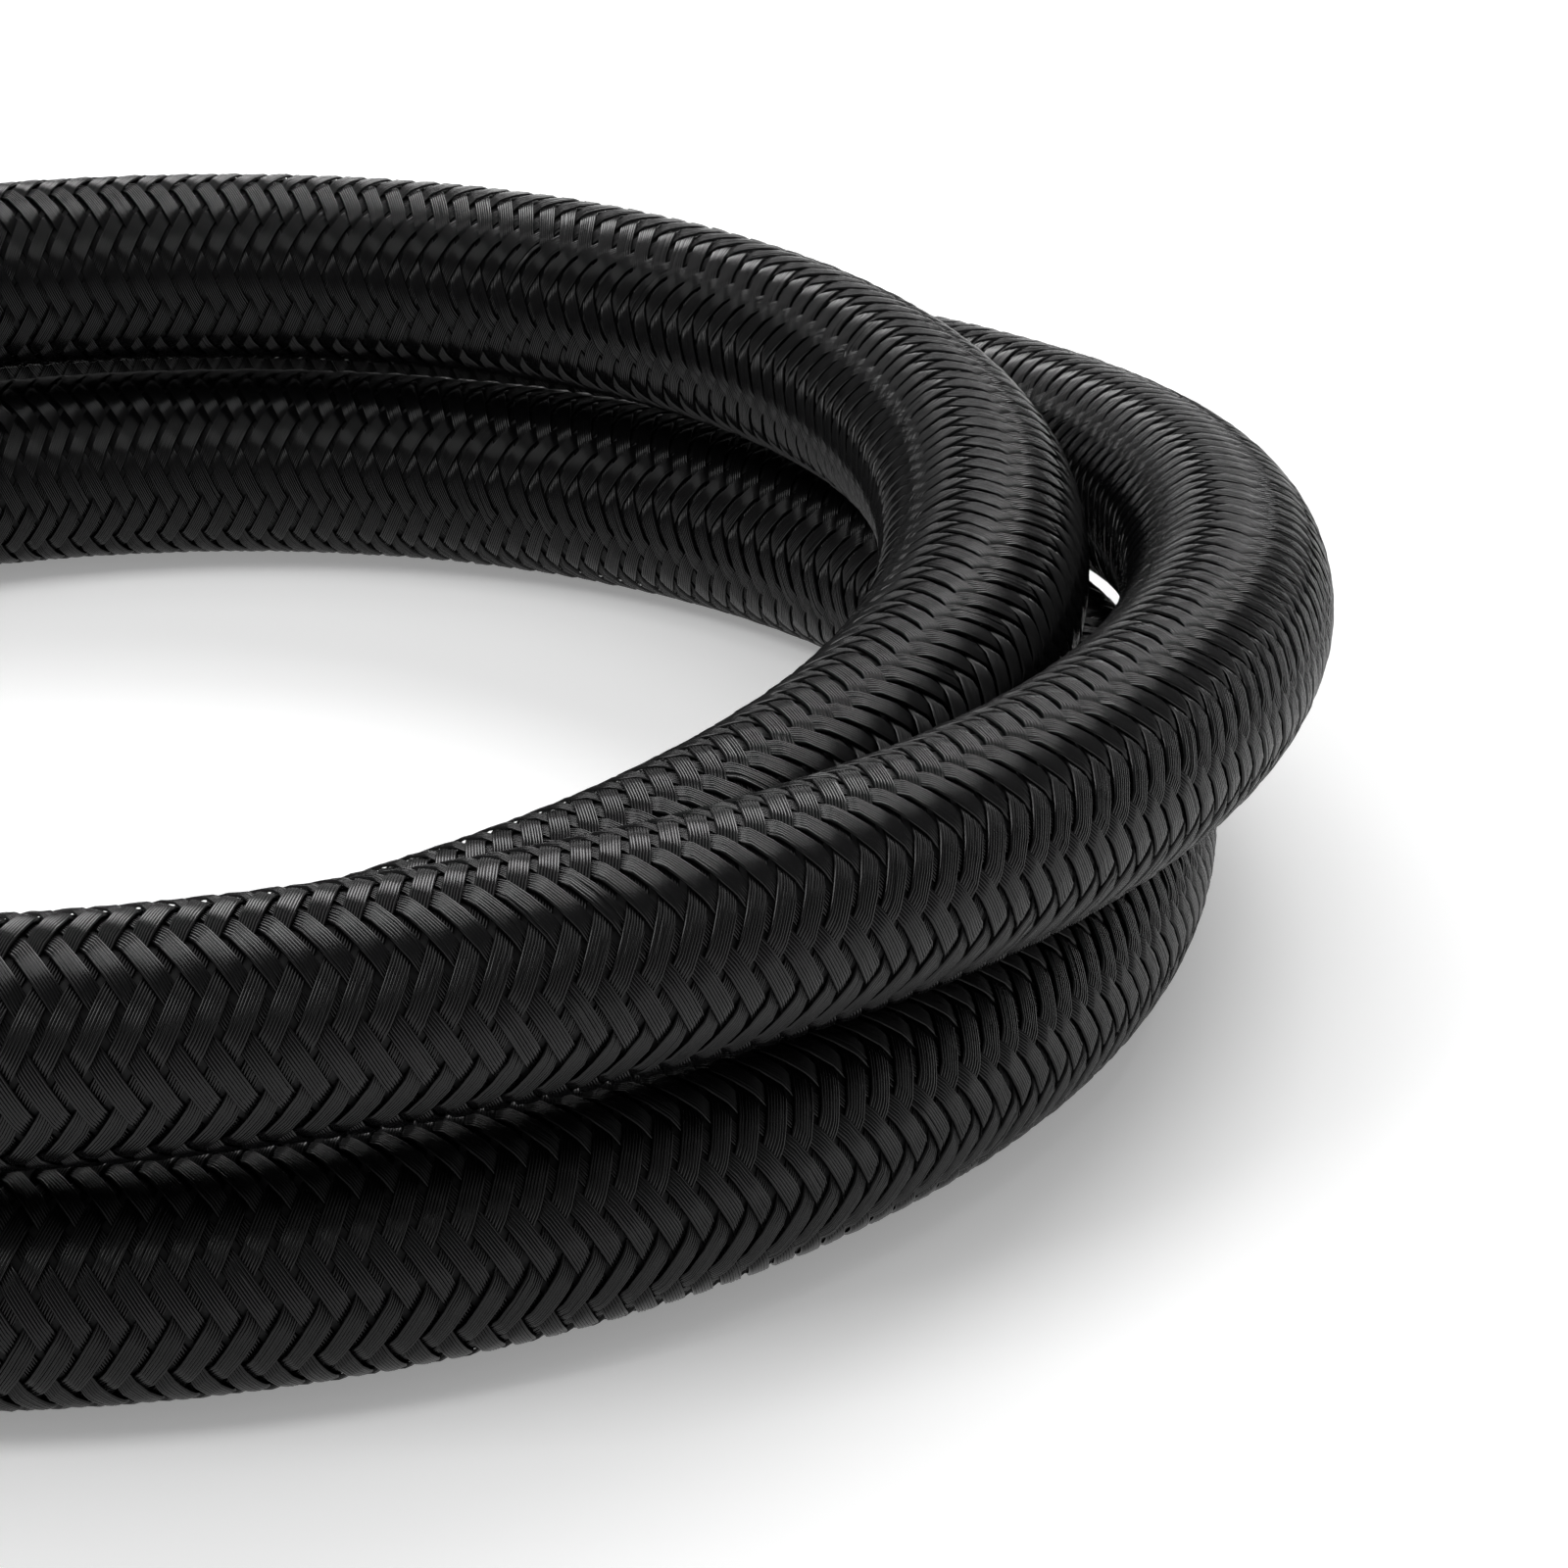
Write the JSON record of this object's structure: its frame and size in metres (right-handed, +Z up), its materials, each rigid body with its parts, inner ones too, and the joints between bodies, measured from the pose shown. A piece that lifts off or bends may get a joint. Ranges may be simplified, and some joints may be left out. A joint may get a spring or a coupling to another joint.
{
  "type": "hydraulic hose assembly",
  "caption": "Coiled braided hose with a threaded swivel fitting on each end, a wire braid under its woven jacket and a strap that ties the coil.",
  "frame": {"origin": "middle of the floor area that the coil and its fittings take, at floor level", "axes": "+Z up, across the coil; -X along both fittings, out of their threads; +Y to the far side of the coil"},
  "size_m": [0.2477, 0.2242, 0.0373],
  "materials": {
    "nylon_braid": "black nylon monofilament, woven",
    "steel_wire": "bright drawn wire",
    "tube_rubber": "smooth, extruded",
    "tie_nylon": "moulded, satin",
    "anodised_socket": "black anodised, satin",
    "anodised_nipple": "black anodised, satin",
    "anodised_nut": "black anodised, satin"
  },
  "bodies": {
    "hose": {"outer_braid": "nylon_braid", "wire_braid": "steel_wire", "inner_tube": "tube_rubber", "coil_tie": "tie_nylon", "socket_a": "anodised_socket", "nipple_a": "anodised_nipple", "retaining_wire_a": "steel_wire", "socket_b": "anodised_socket", "nipple_b": "anodised_nipple", "retaining_wire_b": "steel_wire"},
    "nut_a": {"swivel_nut_a": "anodised_nut"},
    "nut_b": {"swivel_nut_b": "anodised_nut"}
  },
  "joints": [
    {"name": "nut_a_swivel", "type": "hinge", "parent": "hose", "child": "nut_a", "pos_m": [-0.109, -0.09808, 0.0127], "axis": [-1, 0, 0], "continuous": true},
    {"name": "nut_b_swivel", "type": "hinge", "parent": "hose", "child": "nut_b", "pos_m": [-0.049, 0.09761, 0.0127], "axis": [-1, 0, 0], "continuous": true}
  ]
}
